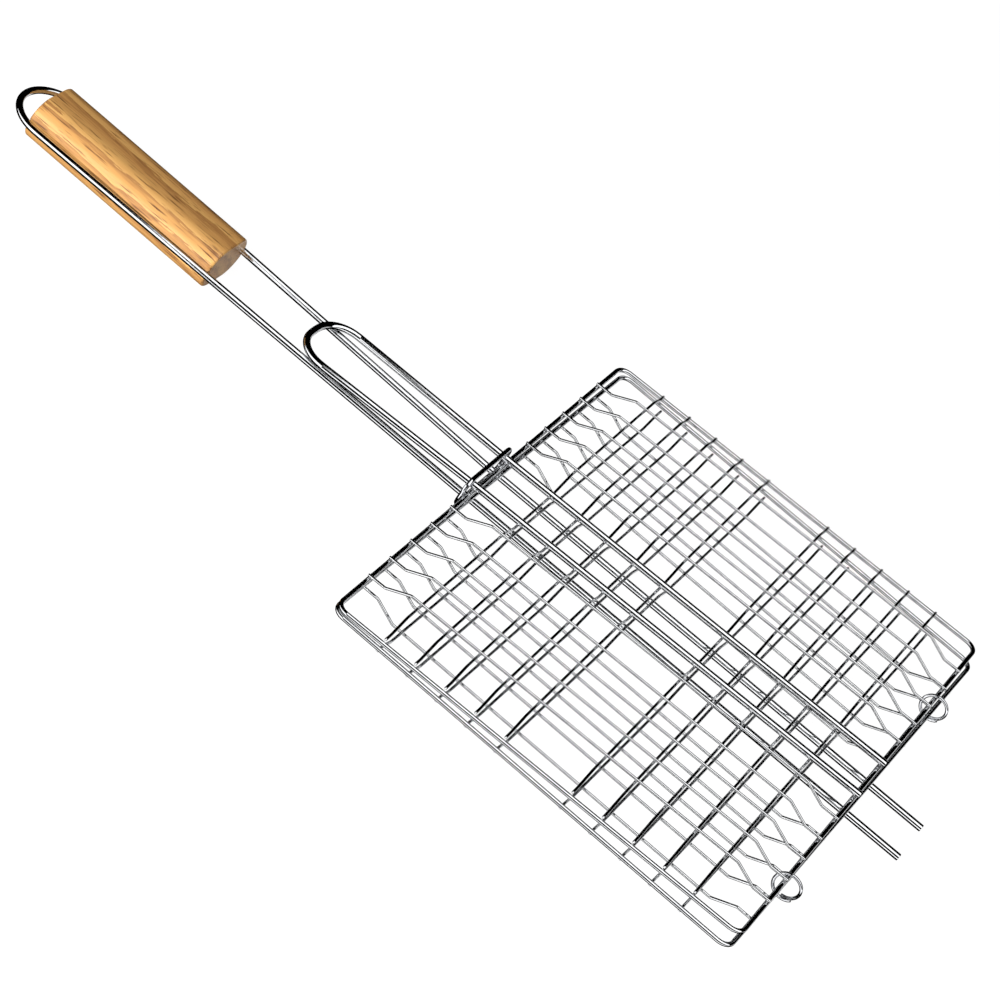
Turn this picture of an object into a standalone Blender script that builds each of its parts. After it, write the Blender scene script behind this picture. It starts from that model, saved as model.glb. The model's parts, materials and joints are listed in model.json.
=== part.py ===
"""A hinged wire grill basket with a wooden grip, lying flat, +X away from the grip.

Two wire trays, each a rim with ten cross wires and ten long wires, close on each
other like a book. Loose wire rings at the far end are the hinge. The base is welded
on a long two-wire handle that ends in a hanging loop and carries the wooden grip.
The lid has a short U-shaped handle of its own, and a ring slid over both handles
holds the basket shut. Lengths are in metres, and z = 0 is under the grip.
"""

import math

import bmesh
import bpy
from mathutils import Vector

# Wire sizes, and the gap that stands for a weld or a loose fit.
RIM_RADIUS = 0.00125
GRID_RADIUS = 0.00075
HANDLE_RADIUS = 0.002
LATCH_RADIUS = 0.00125
HINGE_RADIUS = 0.0009
WELD_GAP = 0.00025
SIDES = 2  # bevel resolution of every wire, which makes it eight-sided

# Rims, measured between wire centres.
BASKET_LENGTH = 0.240
BASKET_WIDTH = 0.310
RIM_CORNER = 0.006
RIM_CORNER_STEPS = 5

# Heights of the grid above its rim's centre; the base is the same, upside down.
ON_RIM = RIM_RADIUS + GRID_RADIUS + WELD_GAP
HANDLE_ABOVE_RIM = RIM_RADIUS + HANDLE_RADIUS + WELD_GAP
CHANNEL_RISE = HANDLE_ABOVE_RIM - HANDLE_RADIUS - GRID_RADIUS - WELD_GAP
CROSS_DOME_RISE = 0.00665
LONG_DOME_RISE = CROSS_DOME_RISE + 2 * GRID_RADIUS + WELD_GAP
CROSS_TIP_PAST_RIM = -0.0005
LONG_TIP_PAST_RIM = 0.0013

# Cross wires, in distance from the basket's middle, and their bends, in distance
# from the handle's centre line.
CROSS_OFFSETS = (0.020, 0.038, 0.056, 0.074, 0.092)
CROSS_FLAT = 0.006
CROSS_SLOPE = 0.0117
CHANNEL_EDGE = 0.038
CHANNEL_FLOOR = 0.021

# Long wires, in distance from the handle's centre line, and their bends.
LONG_PITCH = 0.02075
LONG_FIRST = 2 * LONG_PITCH
LONG_COUNT = 5
LONG_FLAT = 0.0091
LONG_SLOPE = 0.0126

# The long handle's two wires spread from the basket to the loop. They are bent up
# a little where they leave the basket, so that the latch ring finds them close.
HANDLE_HALF_AT_BASKET = 0.0153
HANDLE_BEND_FROM_RIM = 0.008
HANDLE_LIFT = math.radians(1.2)
LOOP_HALF = 0.0206
LOOP_CENTRE_FROM_RIM = 0.2892
PRONG_OVERHANG = 0.0356
LOOP_STEPS = 16

# The short handle on the lid.
SHORT_HALF_AT_HINGE = 0.0167
SHORT_HALF_AT_RIM = 0.0173
SHORT_HALF_AT_U = 0.0196
SHORT_REACH = 0.1160
SHORT_CORNER = 0.0165
SHORT_CORNER_STEPS = 7
SHORT_OVERHANG = 0.002

# The grip, and the side grooves that the long handle's wires lie in.
GRIP_LENGTH = 0.1215
GRIP_START_FROM_RIM = 0.1738
GRIP_WIDTH = 0.038
GRIP_HEIGHT = 0.025
GRIP_CORNER = 0.012
GRIP_CORNER_STEPS = 7
GRIP_END_BEVEL = 0.0006
GROOVE_GAP = 0.0003
CUT_MARGIN = 0.012

# The lid lies a little open at the hinge, as the rings let it, and the base tray is
# a little askew under it; the shift is that of the middle of its far rim.
LID_RISE_AT_HANDLE = 0.0028
LID_RISE_AT_HINGE = 0.0080
BASE_YAW = math.radians(-0.7)
BASE_SHIFT_X = 0.0016
BASE_SHIFT_Y = -0.0032

# Hinge rings, each a wire bent a little past a full turn, and the latch ring.
HINGE_RING_LEFT_Y = 0.093
HINGE_RING_RIGHT_Y = -0.0995
HINGE_RING_OUTER = 0.008
HINGE_RING_FROM_RIM = 0.0024
HINGE_RING_START_DEG = -88
HINGE_RING_TURN_DEG = 410
HINGE_RING_STEPS = 25
LATCH_FROM_RIM = 0.003
LATCH_INNER_HALF = 0.023
LATCH_INNER_HEIGHT = 0.0146
LATCH_INNER_CORNER = 0.005
LATCH_CORNER_STEPS = 6

# Where things end up in the world: the ground is under the grip's basket end, and
# the handles' centre line lies beside the middle of the width, as the base is askew.
HANDLE_Y = 0.0016
BEND_TO_GRIP = GRIP_START_FROM_RIM - HANDLE_BEND_FROM_RIM
BEND_TO_LOOP_CENTRE = LOOP_CENTRE_FROM_RIM - HANDLE_BEND_FROM_RIM
HANDLE_Z = GRIP_HEIGHT / 2 * math.cos(HANDLE_LIFT) - BEND_TO_GRIP * math.sin(HANDLE_LIFT)
BASE_RIM_Z = HANDLE_Z + HANDLE_ABOVE_RIM
LIFTED_LENGTH = BEND_TO_LOOP_CENTRE + LOOP_HALF + HANDLE_RADIUS
OVERALL = (
    PRONG_OVERHANG
    + BASKET_LENGTH
    + HANDLE_BEND_FROM_RIM
    + LIFTED_LENGTH * math.cos(HANDLE_LIFT)
)
FAR_RIM_X = OVERALL / 2 - PRONG_OVERHANG
NEAR_RIM_X = FAR_RIM_X - BASKET_LENGTH
BEND_X = NEAR_RIM_X - HANDLE_BEND_FROM_RIM
LID_TILT = math.asin((LID_RISE_AT_HINGE - LID_RISE_AT_HANDLE) / BASKET_LENGTH)


def clear_scene():
    for obj in list(bpy.data.objects):
        bpy.data.objects.remove(obj, do_unlink=True)


def new_collection(name):
    made = bpy.data.collections.new(name)
    bpy.context.scene.collection.children.link(made)
    return made


def new_material(name, colour, roughness, metallic):
    made = bpy.data.materials.new(name)
    made.use_nodes = True
    shader = made.node_tree.nodes["Principled BSDF"]
    shader.inputs["Base Color"].default_value = (*colour, 1.0)
    shader.inputs["Roughness"].default_value = roughness
    shader.inputs["Metallic"].default_value = metallic
    made.diffuse_color = (*colour, 1.0)
    return made


def new_frame(name, location, tilt=0.0, yaw=0.0):
    """An empty that a group of pieces is placed from."""
    made = bpy.data.objects.new(name, None)
    made.empty_display_size = 0.02
    made.location = location
    made.rotation_euler = (0.0, tilt, yaw)
    parts.objects.link(made)
    return made


def wire(name, points, radius, material, parent=None, location=(0, 0, 0), closed=False):
    """A round wire along the points."""
    curve = bpy.data.curves.new(name, "CURVE")
    curve.dimensions = "3D"
    curve.bevel_depth = radius
    curve.bevel_resolution = SIDES
    curve.use_fill_caps = not closed
    spline = curve.splines.new("POLY")
    spline.points.add(len(points) - 1)
    for slot, point in zip(spline.points, points):
        slot.co = (*point, 1.0)
    spline.use_cyclic_u = closed
    spline.use_smooth = True
    made = bpy.data.objects.new(name, curve)
    made.parent = parent
    made.location = location
    curve.materials.append(material)
    parts.objects.link(made)
    return made


def arc(centre, radius, start_deg, end_deg, steps):
    """Points on an arc in a plane, both ends included."""
    turned = []
    for i in range(steps + 1):
        angle = math.radians(start_deg + (end_deg - start_deg) * i / steps)
        turned.append(
            (
                centre[0] + radius * math.cos(angle),
                centre[1] + radius * math.sin(angle),
            )
        )
    return turned


def rounded_rectangle(half_u, half_v, corner, steps):
    points = []
    for quarter, (sign_u, sign_v) in enumerate(((1, 1), (-1, 1), (-1, -1), (1, -1))):
        centre = (sign_u * (half_u - corner), sign_v * (half_v - corner))
        points += arc(centre, corner, 90 * quarter, 90 * (quarter + 1), steps)
    return points


def mirrored(half_path):
    """The path, then its mirror image in v run backwards."""
    return half_path + [(u, -v) for u, v in reversed(half_path)]


def cross_wire_path(side):
    """(y, z) from one tip to the other, with the handles' channel in the middle."""
    tip = BASKET_WIDTH / 2 + CROSS_TIP_PAST_RIM
    bend = BASKET_WIDTH / 2 - CROSS_FLAT
    half = [
        (tip, ON_RIM),
        (bend, ON_RIM),
        (bend - CROSS_SLOPE, CROSS_DOME_RISE),
        (CHANNEL_EDGE, CROSS_DOME_RISE),
        (CHANNEL_FLOOR, CHANNEL_RISE),
    ]
    return [(y, side * z) for y, z in half + [(-y, z) for y, z in reversed(half)]]


def long_wire_path(side):
    """(x, z) from the hinge end to the handle end, x counted from the far rim."""
    middle = -BASKET_LENGTH / 2
    reach = BASKET_LENGTH / 2
    half = [
        (reach + LONG_TIP_PAST_RIM, ON_RIM),
        (reach - LONG_FLAT, ON_RIM),
        (reach - LONG_FLAT - LONG_SLOPE, LONG_DOME_RISE),
    ]
    both = half + [(-x, z) for x, z in reversed(half)]
    return [(middle + x, side * z) for x, z in both]


def tray(prefix, frame, side, rim_material, grid_material):
    """One half of the basket; side is 1 for the lid and -1 for the base."""
    outline = rounded_rectangle(
        BASKET_LENGTH / 2, BASKET_WIDTH / 2, RIM_CORNER, RIM_CORNER_STEPS
    )
    rim_points = [(x - BASKET_LENGTH / 2, y, 0.0) for x, y in outline]
    wire(f"{prefix}_rim", rim_points, RIM_RADIUS, rim_material, frame, closed=True)

    cross_path = [(0.0, y, z) for y, z in cross_wire_path(side)]
    offsets = [-d for d in reversed(CROSS_OFFSETS)] + list(CROSS_OFFSETS)
    for number, offset in enumerate(offsets, 1):
        wire(
            f"{prefix}_cross_wire_{number:02d}",
            cross_path,
            GRID_RADIUS,
            grid_material,
            frame,
            (offset - BASKET_LENGTH / 2, 0.0, 0.0),
        )

    long_path = [(x, 0.0, z) for x, z in long_wire_path(side)]
    steps = [LONG_FIRST + i * LONG_PITCH for i in range(LONG_COUNT)]
    places = [-y for y in reversed(steps)] + steps
    for number, y in enumerate(places, 1):
        wire(
            f"{prefix}_long_wire_{number:02d}",
            long_path,
            GRID_RADIUS,
            grid_material,
            frame,
            (0.0, y, 0.0),
        )


def lifted_side(offset):
    """(x, y) of the long handle's left wire from the bend to the middle of the loop,
    x counted from the bend along the lifted part, and the whole line moved towards
    the handle's centre line by the offset."""
    loop_centre = (-BEND_TO_LOOP_CENTRE, 0.0)
    bend = [(0.0, HANDLE_HALF_AT_BASKET - offset)]
    return bend + arc(loop_centre, LOOP_HALF - offset, 90, 180, LOOP_STEPS // 2)


def long_handle(material):
    prong_x = FAR_RIM_X + PRONG_OVERHANG - BEND_X
    half = [(prong_x, HANDLE_HALF_AT_BASKET)] + lifted_side(0.0)
    path = half + [(x, -y) for x, y in reversed(half[:-1])]
    points = []
    for x, y in path:
        lift = HANDLE_LIFT if x < 0 else 0.0
        points.append((x * math.cos(lift), y, -x * math.sin(lift)))
    origin = (BEND_X, HANDLE_Y, HANDLE_Z)
    wire("long_handle_wire", points, HANDLE_RADIUS, material, location=origin)


def short_handle(frame, material):
    """The lid's U, x counted from the far rim."""
    u_end = -BASKET_LENGTH - SHORT_REACH
    corner_centre = (u_end + SHORT_CORNER, SHORT_HALF_AT_U - SHORT_CORNER)
    half = [
        (SHORT_OVERHANG, SHORT_HALF_AT_HINGE),
        (-BASKET_LENGTH, SHORT_HALF_AT_RIM),
    ]
    half += arc(corner_centre, SHORT_CORNER, 90, 180, SHORT_CORNER_STEPS)
    points = [(x, y, HANDLE_ABOVE_RIM) for x, y in mirrored(half)]
    wire("short_handle_wire", points, HANDLE_RADIUS, material, frame)


def flat_shape(name, outline, half_depth):
    """A closed outline thickened both ways and made a clean mesh."""
    curve = bpy.data.curves.new(name, "CURVE")
    curve.dimensions = "2D"
    curve.fill_mode = "BOTH"
    curve.extrude = half_depth
    spline = curve.splines.new("POLY")
    spline.points.add(len(outline) - 1)
    for slot, (u, v) in zip(spline.points, outline):
        slot.co = (u, v, 0.0, 1.0)
    spline.use_cyclic_u = True
    guide = bpy.data.objects.new(name + "_outline", curve)
    bpy.context.scene.collection.objects.link(guide)
    bpy.context.view_layer.update()
    graph = bpy.context.evaluated_depsgraph_get()
    mesh = bpy.data.meshes.new_from_object(guide.evaluated_get(graph))
    bpy.data.objects.remove(guide, do_unlink=True)
    shape = bmesh.new()
    shape.from_mesh(mesh)
    bmesh.ops.remove_doubles(shape, verts=shape.verts, dist=0.000001)
    bmesh.ops.recalc_face_normals(shape, faces=shape.faces)
    shape.to_mesh(mesh)
    shape.free()
    mesh.name = name
    return mesh


def groove_outline(side):
    """The space outside one handle wire, as seen from above."""
    entry_x = CUT_MARGIN - BEND_TO_GRIP
    (bend_x, bend_y), *loop = lifted_side(HANDLE_RADIUS + GROOVE_GAP)
    along = (entry_x - bend_x) / (loop[0][0] - bend_x)
    entry_y = bend_y + along * (loop[0][1] - bend_y)
    inner = [(entry_x, entry_y)] + loop[: LOOP_STEPS // 4 + 1]
    outside = GRIP_WIDTH / 2 + CUT_MARGIN
    outline = inner + [(inner[-1][0], outside), (entry_x, outside)]
    return [(x, side * y) for x, y in outline]


def grip(frame, material):
    outline = rounded_rectangle(
        GRIP_WIDTH / 2, GRIP_HEIGHT / 2, GRIP_CORNER, GRIP_CORNER_STEPS
    )
    made = bpy.data.objects.new("grip", flat_shape("grip", outline, GRIP_LENGTH / 2))
    made.parent = frame
    # The outline's u runs along the frame's Y and its v along the frame's Z.
    made.rotation_euler = (math.pi / 2, 0.0, math.pi / 2)
    made.location = (-BEND_TO_GRIP - GRIP_LENGTH / 2, 0.0, 0.0)
    made.data.materials.append(material)
    parts.objects.link(made)
    ends = made.modifiers.new("rounded_ends", "BEVEL")
    ends.width = GRIP_END_BEVEL
    ends.segments = 2
    ends.limit_method = "ANGLE"
    ends.angle_limit = math.radians(60)
    for name, side in (("left", 1), ("right", -1)):
        half_depth = HANDLE_RADIUS + GROOVE_GAP
        shape = flat_shape(f"groove_{name}", groove_outline(side), half_depth)
        cutter = bpy.data.objects.new(f"groove_{name}", shape)
        cutter.parent = frame
        cutter.hide_render = True
        cutter.display_type = "WIRE"
        cutters.objects.link(cutter)
        cut = made.modifiers.new(f"groove_{name}", "BOOLEAN")
        cut.operation = "DIFFERENCE"
        cut.solver = "EXACT"
        cut.object = cutter


def hinge_rings(material):
    """Split rings that tie the two far rims together, each round its own centre,
    with the wire's two ends side by side underneath."""
    turn = math.radians(HINGE_RING_TURN_DEG)
    start = math.radians(HINGE_RING_START_DEG)
    radius = HINGE_RING_OUTER - HINGE_RADIUS
    side_step = 2 * HINGE_RADIUS + WELD_GAP
    width = side_step * turn / math.tau
    points = []
    for i in range(HINGE_RING_STEPS + 1):
        share = i / HINGE_RING_STEPS
        angle = start + share * turn
        points.append(
            (radius * math.cos(angle), width * (0.5 - share), radius * math.sin(angle))
        )
    height = BASE_RIM_Z + LID_RISE_AT_HINGE / 2
    for name, y in (("left", HINGE_RING_LEFT_Y), ("right", HINGE_RING_RIGHT_Y)):
        centre = (FAR_RIM_X + HINGE_RING_FROM_RIM, HANDLE_Y + y, height)
        wire(f"hinge_ring_{name}", points, HINGE_RADIUS, material, location=centre)


def latch_ring(material):
    """The flattened ring that slides over both handles."""
    half_height = LATCH_INNER_HEIGHT / 2
    outline = rounded_rectangle(
        LATCH_INNER_HALF + LATCH_RADIUS,
        half_height + LATCH_RADIUS,
        LATCH_INNER_CORNER + LATCH_RADIUS,
        LATCH_CORNER_STEPS,
    )
    bottom = -HANDLE_ABOVE_RIM - HANDLE_RADIUS - 0.0003
    centre_z = BASE_RIM_Z + bottom + half_height
    centre = (NEAR_RIM_X - LATCH_FROM_RIM, HANDLE_Y, centre_z)
    points = [(0.0, u, v) for u, v in outline]
    wire("latch_ring", points, LATCH_RADIUS, material, location=centre, closed=True)


clear_scene()
parts = new_collection("grill_basket")
cutters = new_collection("grill_basket_cutters")

handle_steel = new_material("handle_steel", (0.72, 0.72, 0.73), 0.14, 1.0)
rim_steel = new_material("rim_steel", (0.70, 0.70, 0.71), 0.16, 1.0)
grid_steel = new_material("grid_steel", (0.66, 0.66, 0.68), 0.18, 1.0)
ring_steel = new_material("ring_steel", (0.70, 0.70, 0.72), 0.2, 1.0)
grip_wood = new_material("grip_wood", (0.62, 0.36, 0.14), 0.45, 0.0)

base_frame = new_frame(
    "base_frame",
    (FAR_RIM_X + BASE_SHIFT_X, HANDLE_Y + BASE_SHIFT_Y, BASE_RIM_Z),
    yaw=BASE_YAW,
)
handle_frame = new_frame("handle_frame", (BEND_X, HANDLE_Y, HANDLE_Z), HANDLE_LIFT)
lid_frame = new_frame(
    "lid_frame", (FAR_RIM_X, HANDLE_Y, BASE_RIM_Z + LID_RISE_AT_HINGE), -LID_TILT
)

tray("base", base_frame, -1, rim_steel, grid_steel)
long_handle(handle_steel)
grip(handle_frame, grip_wood)
tray("lid", lid_frame, 1, rim_steel, grid_steel)
short_handle(lid_frame, handle_steel)
hinge_rings(ring_steel)
latch_ring(ring_steel)
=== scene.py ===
"""Looks for the grill basket: two wire trays hinged on two split rings, a long handle
with a wooden grip, a short handle on the lid and a latch ring round both handles.

Every wire is swept again along the centre line of its CAD wire, rounder and with real
bends, and gets a small weld where it touches another. The grip is shaped again round
the same wires. Metres, +Z up.
"""

import json
import math

import bmesh
import bpy
import numpy as np
from mathutils import Matrix, Vector, geometry

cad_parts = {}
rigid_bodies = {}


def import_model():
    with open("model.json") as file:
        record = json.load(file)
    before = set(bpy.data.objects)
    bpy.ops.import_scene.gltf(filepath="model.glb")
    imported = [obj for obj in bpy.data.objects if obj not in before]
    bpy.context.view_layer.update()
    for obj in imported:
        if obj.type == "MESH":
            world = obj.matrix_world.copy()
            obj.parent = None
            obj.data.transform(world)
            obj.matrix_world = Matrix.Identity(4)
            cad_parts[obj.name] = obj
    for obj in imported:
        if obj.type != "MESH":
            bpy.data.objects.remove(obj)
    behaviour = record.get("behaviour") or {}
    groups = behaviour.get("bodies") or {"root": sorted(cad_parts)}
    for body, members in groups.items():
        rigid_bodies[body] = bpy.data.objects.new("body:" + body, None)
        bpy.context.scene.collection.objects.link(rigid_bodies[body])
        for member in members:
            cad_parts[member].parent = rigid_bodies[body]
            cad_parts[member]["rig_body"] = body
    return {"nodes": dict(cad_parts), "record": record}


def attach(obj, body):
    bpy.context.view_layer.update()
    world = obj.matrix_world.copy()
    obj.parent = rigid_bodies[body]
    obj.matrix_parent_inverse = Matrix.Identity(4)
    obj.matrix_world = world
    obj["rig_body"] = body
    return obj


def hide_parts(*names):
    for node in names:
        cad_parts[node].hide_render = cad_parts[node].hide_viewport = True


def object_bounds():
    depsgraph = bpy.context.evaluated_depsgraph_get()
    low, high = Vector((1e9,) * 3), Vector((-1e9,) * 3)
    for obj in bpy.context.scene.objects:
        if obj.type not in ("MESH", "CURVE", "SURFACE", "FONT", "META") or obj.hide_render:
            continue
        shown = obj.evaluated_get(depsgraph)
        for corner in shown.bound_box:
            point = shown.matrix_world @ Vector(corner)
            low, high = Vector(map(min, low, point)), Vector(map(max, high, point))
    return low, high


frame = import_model()
cad_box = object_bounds()

# Reading the CAD wires: an edge round a wire is shorter than this many times the
# shortest one, an edge along it is longer.
RING_EDGE = 1.2
SAME_POINT = 0.00001

# The wires: share of the CAD wire's radius, sides of the round section, size of the
# cut ends' bevel, bend radii.
WIRE_SHARE = 0.996
SECTION_SIDES = 20
CUT_BEVEL = 0.00025
BEND_STEP = math.radians(6)
LEAST_TURN = math.radians(0.3)
GRID_BEND = 0.0028
HANDLE_BEND = 0.06
RIM_BEND = 0.004
RING_BEND = 0.02

# Welds: how far apart two wires can be and still be welded, and the nugget's spread
# and depth in radii of the thinner wire.
WELD_REACH = 0.0006
WELD_SPREAD = 0.85
WELD_DEPTH = 0.5

# Grip: its section as a share of the CAD one, the rounding of its long edges and of
# its ends, the number of sections, and the side grooves with their softened lips.
GRIP_SHARE = 0.998
GRIP_CORNER = 0.012
CORNER_DEGREES = range(0, 66, 6)
GRIP_EDGE = 0.0012
EDGE_DEGREES = (0, 22.5, 45, 67.5, 90)
GRIP_STATIONS = 60
GROOVE_CLEARANCE = 0.0003
GROOVE_DEGREES = range(0, 91, 15)
GROOVE_LIP = 0.0005
LIP_ABOVE, LIP_IN, LIP_BELOW = 1.2, 0.3, 0.2

# Chrome: noise scales of its cloudy patches, drawing lines and waviness, the noise
# levels between which they fade, and how strongly it is wavy.
CLOUD_SCALE, LINE_SCALE, WAVE_SCALE = 180.0, 1400.0, 260.0
CLOUD_LEVELS = (0.35, 0.62)
LINE_LEVELS = (0.35, 0.7)
WAVE_STRENGTH = 0.04
BUMP_DEPTH = 0.0001

# Wood: how much the grain is drawn out along the grip, how it wanders, where the
# tree's heart lies beside the grip, its year rings from pale to dark, and its pores.
GRAIN_STRETCH = (0.07, 1.0, 1.0)
WANDER_SCALE, WANDER = 60.0, 0.012
HEART = (0.0, 0.030, 0.035)
YEAR_SCALE, YEAR_DISTORTION, YEAR_DETAIL, YEAR_DETAIL_SCALE = 38.0, 3.5, 3.0, 18.0
YEAR_TONES = (
    (0.0, (0.52, 0.29, 0.09)),
    (0.6, (0.44, 0.22, 0.065)),
    (1.0, (0.27, 0.12, 0.035)),
)
PORE_SCALE = 900.0
PORE_LEVELS = (0.58, 0.72)
PORE_TONE = (0.12, 0.045, 0.015, 1.0)
PORE_STRENGTH = 0.25
WOOD_ROUGHNESS, LACQUER, LACQUER_ROUGHNESS = 0.38, 0.4, 0.22

# Floor: its half width, how far it lies under the object, its grey and its glow.
FLOOR_REACH = 4.0
FLOOR_DROP = 0.0002
FLOOR_GREY = 0.14
FLOOR_GLOW = 0.93

# Softboxes: name, place, what it points at, width, height and watts.
SOFTBOXES = (
    ("front_softbox", (-0.5, -1.6, 0.7), (-0.1, 0, 0), 1.6, 1.2, 72),
    ("top_softbox", (0.3, 0.2, 1.6), (0, 0, 0), 1.2, 1.0, 5),
)
ROOM_LIGHT = 0.22
BACKDROP = 1.05

# Camera.
CAMERA_AZIMUTH = math.radians(8.795)
CAMERA_ELEVATION = math.radians(35.780)
CAMERA_ROLL = math.radians(34.689)
CAMERA_DISTANCE = 1.7799
CAMERA_LENS = 128.05
CAMERA_AIM = (0.02893, 0.00199, 0.00894)
CAMERA_CLIP = (0.05, 20)

# The studio that the chrome reflects, as brightness by angle in degrees, counted up
# from the front horizon over the top to the back, and down under the object. A
# direction whose X is below LEFT_FROM sees the left studio, with a light in front.
MAIN_STUDIO = (
    (-180, 0.0),
    (-172, 0.0),
    (-166, 0.5),
    (-148, 0.5),
    (-141, 0.0),
    (-42, 0.0),
    (-38, 1.0),
    (-16, 1.0),
    (-12, 0.0),
    (44, 0.0),
    (48, 1.0),
    (96, 1.0),
    (100, 0.0),
    (180, 0.0),
)
LEFT_STUDIO = (
    (-180, 0.0),
    (-32, 0.0),
    (-24, 1.0),
    (26, 1.0),
    (34, 0.0),
    (180, 0.0),
)
LEFT_FROM, LEFT_UNTIL = -0.210, -0.200
STUDIO_STRENGTH = 1.6


# ---------------------------------------------------------------- reading the frame


def body_of(node):
    return frame["nodes"][node]["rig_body"]


def centre_line(node):
    """(points, radius, closed) of a CAD wire, from the rings of vertices it is made of."""
    shape = bmesh.new()
    shape.from_mesh(frame["nodes"][node].data)
    bmesh.ops.remove_doubles(shape, verts=shape.verts, dist=SAME_POINT)
    ring_edge = RING_EDGE * min(edge.calc_length() for edge in shape.edges)
    ring_of = {}
    rings = []
    for start in shape.verts:
        if start in ring_of:
            continue
        ring_of[start] = len(rings)
        ring = [start]
        for vert in ring:
            for edge in vert.link_edges:
                other = edge.other_vert(vert)
                if edge.calc_length() < ring_edge and other not in ring_of:
                    ring_of[other] = len(rings)
                    ring.append(other)
        rings.append([vert.co.copy() for vert in ring])
    near = [set() for _ in rings]
    for edge in shape.edges:
        a, b = (ring_of[vert] for vert in edge.verts)
        if a != b:
            near[a].add(b)
            near[b].add(a)
    shape.free()
    centres = [sum(ring, Vector()) / len(ring) for ring in rings]
    radius = min((co - centres[i]).length for i, ring in enumerate(rings) for co in ring)
    ends = [i for i, others in enumerate(near) if len(others) == 1]
    order = [ends[0] if ends else 0]
    while True:
        onward = [i for i in sorted(near[order[-1]]) if i not in order]
        if not onward:
            break
        order.append(onward[0])
    return [centres[i] for i in order], radius * WIRE_SHARE, not ends


# ---------------------------------------------------------------- wires


def rounded(points, bend, closed):
    """The path with an arc of the bend radius, or the largest that fits, at each corner."""
    count = len(points)
    path = [] if closed else [points[0]]
    for i in range(0 if closed else 1, count if closed else count - 1):
        before, here, after = points[i - 1], points[i], points[(i + 1) % count]
        back, on = before - here, after - here
        turn = math.pi - back.angle(on)
        if turn < LEAST_TURN:
            path.append(here)
            continue
        reach = min(bend * math.tan(turn / 2), back.length / 2, on.length / 2)
        radius = reach / math.tan(turn / 2)
        start = here + back.normalized() * reach
        inward = (back.normalized() + on.normalized()).normalized()
        centre = here + inward * math.hypot(reach, radius)
        axis = on.cross(back).normalized()
        steps = max(2, math.ceil(turn / BEND_STEP))
        for k in range(steps + 1):
            spin = Matrix.Rotation(turn * k / steps, 3, axis)
            path.append(centre + spin @ (start - centre))
    if not closed:
        path.append(points[-1])
    kept = path[:1]
    for point in path[1:]:
        if (point - kept[-1]).length > SAME_POINT:
            kept.append(point)
    return kept


def swept(name, path, radius, material, closed=False, cut=CUT_BEVEL):
    """A mesh of a round wire along the path, its cut ends bevelled."""
    widths = [1.0] * len(path)
    if not closed:
        first = path[0] + (path[1] - path[0]).normalized() * cut
        last = path[-1] + (path[-2] - path[-1]).normalized() * cut
        path = [path[0], first] + path[1:-1] + [last, path[-1]]
        end_width = 1 - cut / radius
        widths = [end_width, 1.0] + widths[1:-1] + [1.0, end_width]
    curve = bpy.data.curves.new(name, "CURVE")
    curve.dimensions = "3D"
    curve.bevel_depth = radius
    curve.bevel_resolution = SECTION_SIDES // 2 - 2
    curve.use_fill_caps = not closed
    spline = curve.splines.new("POLY")
    spline.points.add(len(path) - 1)
    for slot, point, width in zip(spline.points, path, widths):
        slot.co = (*point, 1.0)
        slot.radius = width
    spline.use_cyclic_u = closed
    spline.use_smooth = True
    maker = bpy.data.objects.new(name + "_curve", curve)
    mesh = bpy.data.meshes.new_from_object(maker)
    bpy.data.objects.remove(maker)
    mesh.name = name
    mesh.materials.clear()
    mesh.materials.append(material)
    return mesh


def add_piece(name, mesh, body, stands_for=(), place=None):
    """A visible piece on a body, in place of the CAD objects that it stands for."""
    made = bpy.data.objects.new(name, mesh)
    bpy.context.scene.collection.objects.link(made)
    if place:
        made.matrix_world = place
    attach(made, body)
    if stands_for:
        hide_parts(*stands_for)


def rebuild_wire(node, bend, material):
    points, radius, closed = centre_line(node)
    path = rounded(points, bend, closed)
    mesh = swept(node + "_shown", path, radius, material, closed)
    add_piece(node + "_shown", mesh, body_of(node), (node,))


# ---------------------------------------------------------------- welds


def contacts(a, b):
    """(middle, gap direction, wire direction, thinner radius) where two wires are welded."""
    points_a, radius_a, closed_a = centre_line(a)
    points_b, radius_b, closed_b = centre_line(b)
    found = []
    loop_a = points_a + points_a[:1] if closed_a else points_a
    loop_b = points_b + points_b[:1] if closed_b else points_b
    for a0, a1 in zip(loop_a, loop_a[1:]):
        for b0, b1 in zip(loop_b, loop_b[1:]):
            nearest = geometry.intersect_line_line(a0, a1, b0, b1)
            if nearest is None:
                continue
            on_a, on_b = nearest
            along_a = (on_a - a0).dot(a1 - a0) / (a1 - a0).length_squared
            along_b = (on_b - b0).dot(b1 - b0) / (b1 - b0).length_squared
            apart = (on_b - on_a).length
            if not (0 <= along_a <= 1 and 0 <= along_b <= 1):
                continue
            if apart > radius_a + radius_b + WELD_REACH:
                continue
            gap = (on_b - on_a).normalized()
            surface_a = on_a + gap * radius_a
            surface_b = on_b - gap * radius_b
            middle = (surface_a + surface_b) / 2
            found.append((middle, gap, (a1 - a0).normalized(), min(radius_a, radius_b)))
    return found


def weld_mesh(name, pairs, material):
    """One mesh of the squeezed nuggets between the wires of each pair."""
    shape = bmesh.new()
    for a, b in pairs:
        for middle, gap, along, thin in contacts(a, b):
            wide = WELD_SPREAD * thin
            deep = WELD_DEPTH * thin
            side = gap.cross(along).normalized()
            fore = side.cross(gap)
            turn = Matrix((fore, side, gap)).transposed().to_4x4()
            place = Matrix.Translation(middle) @ turn @ Matrix.Diagonal((wide, wide, deep, 1))
            bmesh.ops.create_icosphere(shape, subdivisions=2, radius=1, matrix=place)
    for face in shape.faces:
        face.smooth = True
    mesh = bpy.data.meshes.new(name)
    shape.to_mesh(mesh)
    shape.free()
    mesh.materials.append(material)
    return mesh


# ---------------------------------------------------------------- materials


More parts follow.
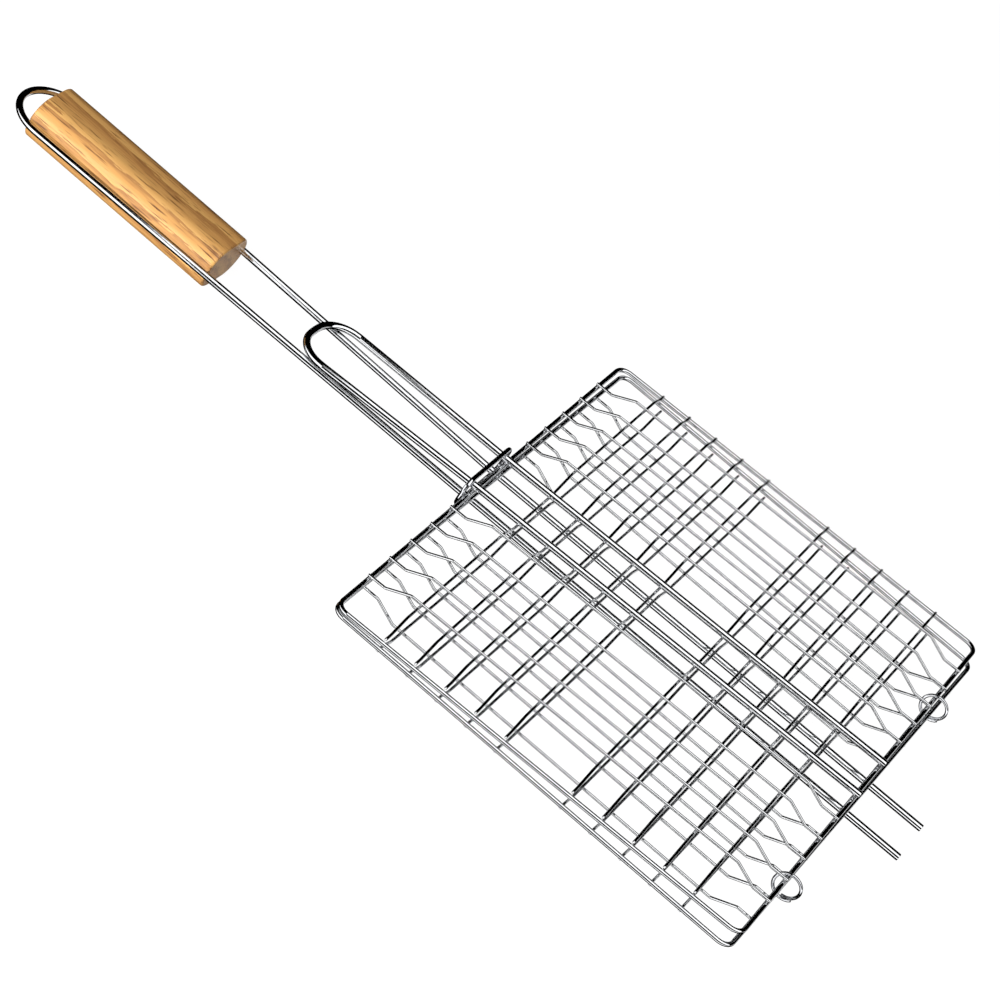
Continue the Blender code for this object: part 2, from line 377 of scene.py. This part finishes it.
def new_material(name):
    made = bpy.data.materials.new(name)
    made.use_nodes = True
    made.node_tree.nodes.clear()
    return made, made.node_tree.nodes, made.node_tree.links


def add_node(nodes, kind, **inputs):
    made = nodes.new(kind)
    for key, value in inputs.items():
        made.inputs[key.replace("_", " ")].default_value = value
    return made


def ramp(nodes, stops):
    made = nodes.new("ShaderNodeValToRGB")
    while len(made.color_ramp.elements) < len(stops):
        made.color_ramp.elements.new(0.5)
    for element, (place, colour) in zip(made.color_ramp.elements, stops):
        element.position = place
        element.color = (*colour, 1.0) if len(colour) == 3 else colour
    return made


def noise(nodes, links, coords, scale, detail, roughness=0.5):
    made = add_node(
        nodes, "ShaderNodeTexNoise", Scale=scale, Detail=detail, Roughness=roughness
    )
    links.new(coords, made.inputs["Vector"])
    return made


def map_range(nodes, links, value, low, high, to_low=0.0, to_high=1.0):
    made = add_node(
        nodes,
        "ShaderNodeMapRange",
        From_Min=low,
        From_Max=high,
        To_Min=to_low,
        To_Max=to_high,
    )
    links.new(value, made.inputs["Value"])
    return made


def bumped(nodes, links, height, strength):
    made = add_node(nodes, "ShaderNodeBump", Strength=strength, Distance=BUMP_DEPTH)
    links.new(height, made.inputs["Height"])
    return made


def to_surface(nodes, links, shader):
    out = nodes.new("ShaderNodeOutputMaterial")
    links.new(shader, out.inputs["Surface"])


def chrome(name, bright, dull, smooth, rough):
    """Chrome plate over drawn wire: faint waviness, fine drawing lines, cloudy patches.

    Its colour lies between bright and dull, its roughness between smooth and rough.
    """
    made, nodes, links = new_material(name)
    coords = nodes.new("ShaderNodeTexCoord").outputs["Object"]
    clouds = noise(nodes, links, coords, CLOUD_SCALE, 4.0, 0.6)
    lines = noise(nodes, links, coords, LINE_SCALE, 3.0, 0.7)
    waves = noise(nodes, links, coords, WAVE_SCALE, 2.0)
    tint = ramp(nodes, list(zip(CLOUD_LEVELS, (dull, bright))))
    links.new(clouds.outputs["Fac"], tint.inputs["Fac"])
    gloss = map_range(nodes, links, lines.outputs["Fac"], *LINE_LEVELS, smooth, rough)
    bump = bumped(nodes, links, waves.outputs["Fac"], WAVE_STRENGTH)
    shader = add_node(nodes, "ShaderNodeBsdfPrincipled", Metallic=1.0)
    links.new(tint.outputs["Color"], shader.inputs["Base Color"])
    links.new(gloss.outputs["Result"], shader.inputs["Roughness"])
    links.new(bump.outputs["Normal"], shader.inputs["Normal"])
    to_surface(nodes, links, shader.outputs["BSDF"])
    return made


def wandering_grain(nodes, links, stretched):
    """Coordinates across the grain, moved about by noise and counted from the heart."""
    wander = noise(nodes, links, stretched, WANDER_SCALE, 3.0)
    shift = nodes.new("ShaderNodeVectorMath")
    shift.operation = "MULTIPLY_ADD"
    shift.inputs[1].default_value = (WANDER, WANDER, WANDER)
    links.new(wander.outputs["Color"], shift.inputs[0])
    links.new(stretched, shift.inputs[2])
    from_heart = nodes.new("ShaderNodeMapping")
    from_heart.inputs["Location"].default_value = HEART
    links.new(shift.outputs["Vector"], from_heart.inputs["Vector"])
    return from_heart.outputs["Vector"]


def year_rings(nodes, links, grain):
    rings = add_node(
        nodes,
        "ShaderNodeTexWave",
        Scale=YEAR_SCALE,
        Distortion=YEAR_DISTORTION,
        Detail=YEAR_DETAIL,
        Detail_Scale=YEAR_DETAIL_SCALE,
    )
    rings.wave_type = "RINGS"
    rings.rings_direction = "X"
    rings.wave_profile = "SAW"
    links.new(grain, rings.inputs["Vector"])
    tone = ramp(nodes, YEAR_TONES)
    links.new(rings.outputs["Fac"], tone.inputs["Fac"])
    return tone.outputs["Color"]


def lacquered_wood(name):
    """Varnished hardwood, its grain along the grip (the object's X)."""
    made, nodes, links = new_material(name)
    coords = nodes.new("ShaderNodeTexCoord")
    stretch = add_node(nodes, "ShaderNodeMapping", Scale=GRAIN_STRETCH)
    links.new(coords.outputs["Object"], stretch.inputs["Vector"])
    stretched = stretch.outputs["Vector"]
    tone = year_rings(nodes, links, wandering_grain(nodes, links, stretched))
    pores = noise(nodes, links, stretched, PORE_SCALE, 2.0)
    pore_mask = ramp(nodes, list(zip(PORE_LEVELS, ((0, 0, 0), (1, 1, 1)))))
    links.new(pores.outputs["Fac"], pore_mask.inputs["Fac"])
    dark = nodes.new("ShaderNodeMix")
    dark.data_type = "RGBA"
    links.new(pore_mask.outputs["Color"], dark.inputs["Factor"])
    links.new(tone, dark.inputs["A"])
    dark.inputs["B"].default_value = PORE_TONE
    bump = bumped(nodes, links, pore_mask.outputs["Color"], PORE_STRENGTH)
    shader = add_node(
        nodes,
        "ShaderNodeBsdfPrincipled",
        Roughness=WOOD_ROUGHNESS,
        Coat_Weight=LACQUER,
        Coat_Roughness=LACQUER_ROUGHNESS,
    )
    links.new(dark.outputs["Result"], shader.inputs["Base Color"])
    links.new(bump.outputs["Normal"], shader.inputs["Normal"])
    to_surface(nodes, links, shader.outputs["BSDF"])
    return made


# ---------------------------------------------------------------- the grip


def grip_frame():
    """Matrix whose origin is the middle of the grip, X along it and Z out of its top."""
    mount = next(m for m in frame["record"]["mounts"] if m["name"] == "grip_underside")
    up = -Vector(mount["axis"])
    across = Vector((0, 1, 0))
    along = across.cross(up)
    turn = Matrix((along, across, up)).transposed().to_4x4()
    here = Matrix.Translation(mount["pos_m"]) @ turn
    inverse = here.inverted()
    local = [inverse @ v.co for v in frame["nodes"]["grip"].data.vertices]
    low = Vector([min(v[i] for v in local) for i in range(3)])
    high = Vector([max(v[i] for v in local) for i in range(3)])
    return here @ Matrix.Translation((low + high) / 2), high - low


def grip_section(half_width, half_height, wire_y, groove):
    """(y, z) round the grip, from the top on the +Y side to the bottom and back up."""
    corner = min(GRIP_CORNER, half_height)
    flat = half_width - corner

    def outer(z):
        over = abs(z) - (half_height - corner)
        if over <= 0:
            return half_width
        return flat + math.sqrt(max(corner**2 - over**2, 0.0))

    side = [(0.0, half_height), (flat / 2, half_height)]
    for angle in (math.radians(a) for a in CORNER_DEGREES):
        y = flat + corner * math.sin(angle)
        z = half_height - corner * (1 - math.cos(angle))
        if z > groove + GROOVE_LIP * LIP_ABOVE:
            side.append((y, z))
    side.append((outer(groove + GROOVE_LIP), groove + GROOVE_LIP))
    mouth = outer(groove) - GROOVE_LIP * LIP_IN
    side.append((mouth, groove - GROOVE_LIP * LIP_BELOW))
    for angle in (math.radians(a) for a in GROOVE_DEGREES):
        floor = wire_y - groove * math.sin(angle)
        side.append((min(mouth, floor), groove * math.cos(angle)))
    right = side + [(y, -z) for y, z in reversed(side[:-1])]
    return right + [(-y, z) for y, z in reversed(right[1:-1])]


def grip_mesh(name, size, material, wire_at, wire_radius):
    """The grip along X about its middle; wire_at(x) is how far out its wires lie."""
    half = Vector((size.x, size.y * GRIP_SHARE, size.z * GRIP_SHARE)) / 2
    shape = bmesh.new()
    rows = []
    groove = wire_radius + GROOVE_CLEARANCE
    ends = [GRIP_EDGE * (1 - math.cos(math.radians(a))) for a in EDGE_DEGREES]
    shrink = [GRIP_EDGE * (1 - math.sin(math.radians(a))) for a in EDGE_DEGREES]
    stations = [(-half.x + e, s) for e, s in zip(ends, shrink)]
    inner = np.linspace(-half.x + GRIP_EDGE, half.x - GRIP_EDGE, GRIP_STATIONS)[1:-1]
    stations += [(float(x), 0.0) for x in inner]
    stations += [(half.x - e, s) for e, s in zip(reversed(ends), reversed(shrink))]
    for x, inset in stations:
        section = grip_section(half.y - inset, half.z - inset, wire_at(x), groove + inset / 2)
        rows.append([shape.verts.new((x, y, z)) for y, z in section])
    for row, following in zip(rows, rows[1:]):
        for i in range(len(row)):
            j = (i + 1) % len(row)
            face = shape.faces.new((row[i], row[j], following[j], following[i]))
            face.smooth = True
    shape.faces.new(rows[0])
    shape.faces.new(list(reversed(rows[-1])))
    bmesh.ops.recalc_face_normals(shape, faces=shape.faces)
    mesh = bpy.data.meshes.new(name)
    shape.to_mesh(mesh)
    shape.free()
    mesh.materials.append(material)
    return mesh


def add_grip(material):
    place, size = grip_frame()
    inverse = place.inverted()
    points, radius, _ = centre_line("long_handle_wire")
    local = [inverse @ p for p in points]
    xs, ys = zip(*sorted((p.x, p.y) for p in local if p.y > 0))

    def wire_at(x):
        return float(np.interp(x, xs, ys))

    mesh = grip_mesh("grip_shown", size, material, wire_at, radius)
    add_piece("grip_shown", mesh, body_of("grip"), ("grip",), place)


# ---------------------------------------------------------------- build the object


handle_chrome = chrome("handle_chrome", (0.86, 0.87, 0.88), (0.70, 0.71, 0.73), 0.02, 0.07)
rim_chrome = chrome("rim_chrome", (0.84, 0.85, 0.86), (0.68, 0.69, 0.71), 0.02, 0.08)
grid_chrome = chrome("grid_chrome", (0.88, 0.89, 0.90), (0.72, 0.73, 0.75), 0.02, 0.08)
ring_chrome = chrome("ring_chrome", (0.84, 0.85, 0.87), (0.66, 0.67, 0.70), 0.03, 0.09)
weld_chrome = chrome("weld_chrome", (0.70, 0.70, 0.71), (0.45, 0.45, 0.47), 0.15, 0.35)
grip_wood = lacquered_wood("grip_wood_varnished")

names = sorted(frame["nodes"])
for name in names:
    if "cross_wire" in name or "long_wire" in name:
        rebuild_wire(name, GRID_BEND, grid_chrome)
    elif name.endswith("_rim"):
        rebuild_wire(name, RIM_BEND, rim_chrome)
    elif name.endswith("handle_wire"):
        rebuild_wire(name, HANDLE_BEND, handle_chrome)
    elif "ring" in name:
        rebuild_wire(name, RING_BEND, ring_chrome)

for tray, handle in (("base", "long_handle_wire"), ("lid", "short_handle_wire")):
    rim = tray + "_rim"
    cross_wires = [n for n in names if n.startswith(tray + "_cross_wire")]
    long_wires = [n for n in names if n.startswith(tray + "_long_wire")]
    pairs = [(a, b) for a in cross_wires for b in long_wires]
    pairs += [(a, rim) for a in cross_wires + long_wires + [handle]]
    pairs += [(a, handle) for a in cross_wires]
    welds = weld_mesh(tray + "_welds", pairs, weld_chrome)
    add_piece(tray + "_welds", welds, body_of(rim))

add_grip(grip_wood)


# ---------------------------------------------------------------- stage, light, camera


def floor_material():
    """Pale for the camera, with only a faint shadow on it."""
    made, nodes, links = new_material("floor_pale")
    grey = (FLOOR_GREY, FLOOR_GREY, FLOOR_GREY, 1.0)
    diffuse = add_node(nodes, "ShaderNodeBsdfDiffuse", Color=grey)
    glow = add_node(nodes, "ShaderNodeEmission", Color=(1, 1, 1, 1), Strength=FLOOR_GLOW)
    both = nodes.new("ShaderNodeAddShader")
    links.new(diffuse.outputs["BSDF"], both.inputs[0])
    links.new(glow.outputs["Emission"], both.inputs[1])
    to_surface(nodes, links, both.outputs["Shader"])
    return made


def add_floor():
    reach = FLOOR_REACH
    z = cad_box[0].z - FLOOR_DROP
    corners = [(-reach, -reach, z), (reach, -reach, z), (reach, reach, z), (-reach, reach, z)]
    mesh = bpy.data.meshes.new("floor")
    mesh.from_pydata(corners, [], [(0, 1, 2, 3)])
    mesh.materials.append(floor_material())
    floor = bpy.data.objects.new("floor", mesh)
    floor.visible_glossy = False
    bpy.context.scene.collection.objects.link(floor)


def add_softbox(name, location, aim, width, height, watts):
    light = bpy.data.lights.new(name, "AREA")
    light.shape = "RECTANGLE"
    light.size = width
    light.size_y = height
    light.energy = watts
    made = bpy.data.objects.new(name, light)
    made.location = location
    made.rotation_euler = (Vector(aim) - Vector(location)).to_track_quat("-Z", "Y").to_euler()
    made.visible_camera = False
    made.visible_glossy = False
    bpy.context.scene.collection.objects.link(made)


def studio_band(nodes, links, angle, stops):
    """Brightness of the studio by the angle up from the front horizon."""
    share = map_range(nodes, links, angle.outputs["Value"], -math.pi, math.pi)
    band = ramp(nodes, [((degrees + 180) / 360, (v, v, v)) for degrees, v in stops])
    links.new(share.outputs["Result"], band.inputs["Fac"])
    return band


def front_angle(nodes, links, parts):
    """The angle of a direction up from the front horizon, which is that of -Y."""
    front = nodes.new("ShaderNodeMath")
    front.operation = "MULTIPLY"
    front.inputs[1].default_value = -1.0
    links.new(parts.outputs["Y"], front.inputs[0])
    angle = nodes.new("ShaderNodeMath")
    angle.operation = "ARCTAN2"
    links.new(parts.outputs["Z"], angle.inputs[0])
    links.new(front.outputs["Value"], angle.inputs[1])
    return angle


def reflected_studio(nodes, links):
    """The main studio's bands of light, and to the left of them the left studio's."""
    coords = nodes.new("ShaderNodeTexCoord")
    parts = nodes.new("ShaderNodeSeparateXYZ")
    links.new(coords.outputs["Generated"], parts.inputs["Vector"])
    angle = front_angle(nodes, links, parts)
    main = studio_band(nodes, links, angle, MAIN_STUDIO)
    left = studio_band(nodes, links, angle, LEFT_STUDIO)
    side = map_range(nodes, links, parts.outputs["X"], LEFT_FROM, LEFT_UNTIL)
    side.interpolation_type = "SMOOTHSTEP"
    seen = nodes.new("ShaderNodeMix")
    seen.data_type = "RGBA"
    links.new(side.outputs["Result"], seen.inputs["Factor"])
    links.new(left.outputs["Color"], seen.inputs["A"])
    links.new(main.outputs["Color"], seen.inputs["B"])
    studio = add_node(nodes, "ShaderNodeBackground", Strength=STUDIO_STRENGTH)
    links.new(seen.outputs["Result"], studio.inputs["Color"])
    return studio


def add_world():
    """Soft room light, a pale backdrop for the camera, and the studio for reflections."""
    world = bpy.data.worlds.new("studio")
    bpy.context.scene.world = world
    world.use_nodes = True
    nodes, links = world.node_tree.nodes, world.node_tree.links
    nodes.clear()
    studio = reflected_studio(nodes, links)
    white = (1, 1, 1, 1)
    room = add_node(nodes, "ShaderNodeBackground", Color=white, Strength=ROOM_LIGHT)
    pale = add_node(nodes, "ShaderNodeBackground", Color=white, Strength=BACKDROP)
    path = nodes.new("ShaderNodeLightPath")
    lit = nodes.new("ShaderNodeMixShader")
    links.new(path.outputs["Is Glossy Ray"], lit.inputs["Fac"])
    links.new(room.outputs["Background"], lit.inputs[1])
    links.new(studio.outputs["Background"], lit.inputs[2])
    both = nodes.new("ShaderNodeMixShader")
    links.new(path.outputs["Is Camera Ray"], both.inputs["Fac"])
    links.new(lit.outputs["Shader"], both.inputs[1])
    links.new(pale.outputs["Background"], both.inputs[2])
    out = nodes.new("ShaderNodeOutputWorld")
    links.new(both.outputs["Shader"], out.inputs["Surface"])


def add_camera():
    """A camera that looks at CAMERA_AIM, turned from -Y by the azimuth and rolled."""
    sine, cosine = math.sin(CAMERA_AZIMUTH), math.cos(CAMERA_AZIMUTH)
    flat = math.cos(CAMERA_ELEVATION)
    back = Vector((sine * flat, -cosine * flat, math.sin(CAMERA_ELEVATION)))
    level = Vector((cosine, sine, 0))
    up = back.cross(level)
    right = level * math.cos(CAMERA_ROLL) + up * math.sin(CAMERA_ROLL)
    turn = Matrix((right, back.cross(right), back)).transposed().to_4x4()
    data = bpy.data.cameras.new("camera")
    data.lens = CAMERA_LENS
    data.clip_start, data.clip_end = CAMERA_CLIP
    camera = bpy.data.objects.new("camera", data)
    place = Vector(CAMERA_AIM) + back * CAMERA_DISTANCE
    camera.matrix_world = Matrix.Translation(place) @ turn
    bpy.context.scene.collection.objects.link(camera)
    bpy.context.scene.camera = camera


add_floor()
add_world()
for softbox in SOFTBOXES:
    add_softbox(*softbox)
add_camera()
bpy.context.scene.view_settings.view_transform = "Standard"
